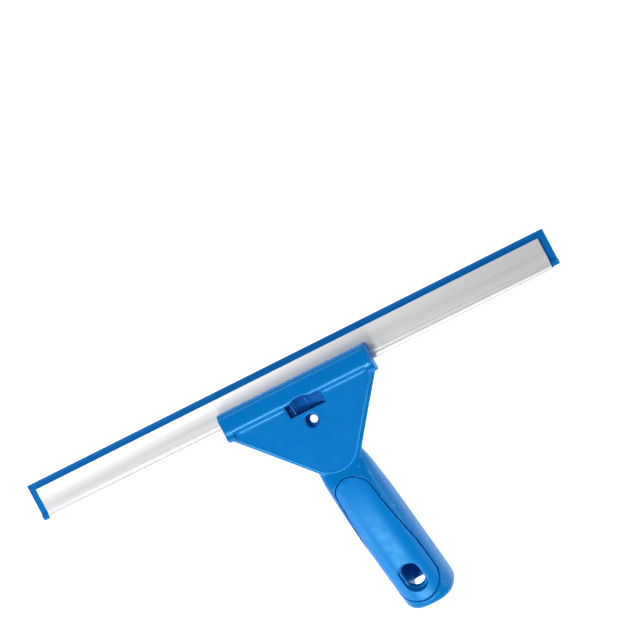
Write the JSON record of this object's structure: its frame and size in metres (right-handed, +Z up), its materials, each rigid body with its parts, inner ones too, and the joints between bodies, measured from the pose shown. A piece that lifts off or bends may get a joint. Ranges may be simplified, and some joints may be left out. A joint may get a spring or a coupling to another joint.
{
  "type": "window squeegee",
  "caption": "Hand window squeegee: rubber blade in an aluminium channel, held by a sliding lock in a triangular plastic head with an angled hollow grip.",
  "frame": {"origin": "middle of the base rectangle, on the surface that the tool lies on with its rubber edge and the end of its grip", "axes": "+X along the blade to the right, +Y from the grip towards the working edge, +Z up out of the front face"},
  "size_m": [0.359, 0.179, 0.0321],
  "materials": {
    "handle_plastic": "satin moulded polypropylene",
    "pad_soft": "soft satin elastomer",
    "lock_plastic": "satin moulded plastic",
    "channel_aluminium": "fine drawn, clear anodised",
    "blade_rubber": "smooth",
    "spring_steel": "bright drawn wire and strip"
  },
  "bodies": {
    "handle": {"handle": "handle_plastic", "grip_pad": "pad_soft", "lock_spring": "spring_steel"},
    "lock": {"lock_wedge": "lock_plastic"},
    "blade": {"channel": "channel_aluminium", "rubber_blade": "blade_rubber", "left_clip": "spring_steel", "right_clip": "spring_steel"}
  },
  "joints": [
    {"name": "blade_slide", "type": "slide", "parent": "handle", "child": "blade", "axis": [1, 0, 0], "range_m": [-0.11, 0.11]},
    {"name": "lock_slide", "type": "slide", "parent": "handle", "child": "lock", "axis": [-0.9903, -0.1302, 0.0492], "range_m": [0, 0.003], "stiffness_N_per_m": 400, "springref_m": -0.005, "deforming": ["lock_spring"]}
  ]
}
